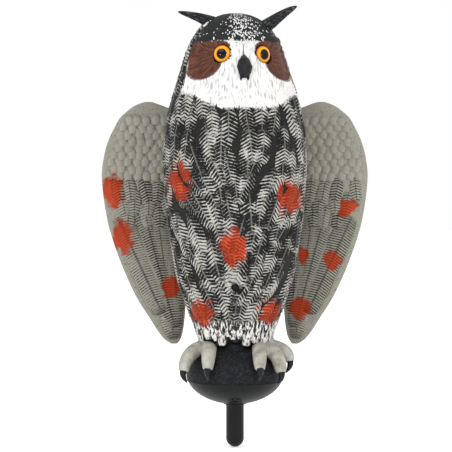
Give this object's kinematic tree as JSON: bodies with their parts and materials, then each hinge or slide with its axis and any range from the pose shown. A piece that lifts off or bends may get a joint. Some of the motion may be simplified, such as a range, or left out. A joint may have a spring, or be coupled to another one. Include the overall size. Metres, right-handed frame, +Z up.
{
  "type": "motion wing decoy",
  "caption": "Horned owl decoy on a perch with a pole stub; geared, battery-driven wings swing out from the shoulders behind a two-part feathered shell.",
  "frame": {"origin": "on the stub's axis, at the flat seat where the stub meets the perch", "axes": "+Z up along the stub; the owl looks towards -Y; its right wing is at -X"},
  "size_m": [0.316, 0.1537, 0.5089],
  "materials": {
    "painted_body": "sprayed and dry-brushed feather relief",
    "painted_wing": "grey paint with black in the engraved lines",
    "beak_gloss": "black, satin gloss",
    "foot_paint": "pale grey paint with black claws",
    "perch_black": "matt black, textured above and smooth below",
    "tuft_rubber": "matt black soft moulding",
    "eye_lens": "clear amber dome",
    "iris_paint": "amber ring round a black pupil",
    "zinc_steel": "zinc plated",
    "black_steel": "blackened",
    "bright_steel": "ground",
    "plate_aluminium": "sheet",
    "bronze": "sintered bronze",
    "seal_rubber": "soft seal",
    "motor_steel": "rolled can",
    "nylon": "moulded nylon",
    "black_abs": "fine moulded grain",
    "grey_abs": "fine moulded grain",
    "cell_wrap": "plain printed sleeve",
    "nickel_contact": "nickel plated",
    "button_red": "soft cap",
    "circuit_board": "green solder mask",
    "lead_red": "insulated wire",
    "lead_black": "insulated wire"
  },
  "bodies": {
    "root": {"body_front_shell": "painted_body", "body_back_shell": "painted_body", "beak": "beak_gloss", "tail_fan": "painted_body", "perch_top": "perch_black", "perch_base": "perch_black", "right_foot": "foot_paint", "left_foot": "foot_paint", "right_ear_tuft": "tuft_rubber", "left_ear_tuft": "tuft_rubber", "right_eye_lens": "eye_lens", "left_eye_lens": "eye_lens", "right_iris_disc": "iris_paint", "left_iris_disc": "iris_paint", "shell_screws": "zinc_steel", "belly_screw": "black_steel", "ankle_screws": "black_steel", "base_screws": "black_steel", "drive_plate_front": "plate_aluminium", "drive_plate_rear": "plate_aluminium", "plate_spacers": "plate_aluminium", "plate_bolts": "zinc_steel", "drive_screws": "zinc_steel", "shaft_bushes": "bronze", "shaft_seals": "seal_rubber", "gearmotor": "motor_steel", "hatch_frame": "grey_abs", "hatch_screws": "zinc_steel", "battery_box": "black_abs", "battery_cells": "cell_wrap", "battery_contacts": "nickel_contact", "door_hinge_pin": "bright_steel", "latch_screw": "zinc_steel", "power_switch": "black_abs", "control_board": "circuit_board", "battery_lead": "lead_red", "switch_lead": "lead_black", "motor_lead": "lead_red"},
    "right_wing": {"right_wing": "painted_wing", "right_wing_hub": "grey_abs", "right_wing_shaft": "bright_steel", "right_sector_gear": "nylon", "right_hub_screws": "zinc_steel", "right_wing_nut": "zinc_steel"},
    "left_wing": {"left_wing": "painted_wing", "left_wing_hub": "grey_abs", "left_wing_shaft": "bright_steel", "left_sector_gear": "nylon", "left_hub_screws": "zinc_steel", "left_wing_nut": "zinc_steel"},
    "pinion": {"output_pinion": "nylon", "output_shaft": "bright_steel"},
    "door": {"battery_door": "grey_abs", "door_gasket": "seal_rubber"},
    "latch": {"door_latch": "black_abs"},
    "button": {"power_button": "button_red"}
  },
  "joints": [
    {"name": "right_wing_flap", "type": "hinge", "parent": "root", "child": "right_wing", "pos_m": [-0.0495, 0.03, 0.319], "axis": [0, 1, 0], "range_deg": [0, 35]},
    {"name": "left_wing_flap", "type": "hinge", "parent": "root", "child": "left_wing", "pos_m": [0.0495, 0.03, 0.319], "axis": [0, 1, 0], "range_deg": [-35, 0]},
    {"name": "pinion_spin", "type": "hinge", "parent": "root", "child": "pinion", "pos_m": [-0.01557, 0.015, 0.27135], "axis": [0, 1, 0], "range_deg": [-192.5, 0]},
    {"name": "battery_door_hinge", "type": "hinge", "parent": "root", "child": "door", "pos_m": [0, 0.067, 0.163], "axis": [-1, 0, 0], "range_deg": [0, 90]},
    {"name": "door_latch_turn", "type": "hinge", "parent": "root", "child": "latch", "pos_m": [0, 0.0698, 0.251], "axis": [0, 1, 0], "range_deg": [0, 90]},
    {"name": "power_button_press", "type": "slide", "parent": "root", "child": "button", "axis": [0, -1, 0], "range_m": [0, 0.002], "stiffness_N_per_m": 300}
  ],
  "couplings": [
    {"joint": "left_wing_flap", "follows": "right_wing_flap", "ratio": -1},
    {"joint": "pinion_spin", "follows": "right_wing_flap", "ratio": -5.5}
  ]
}
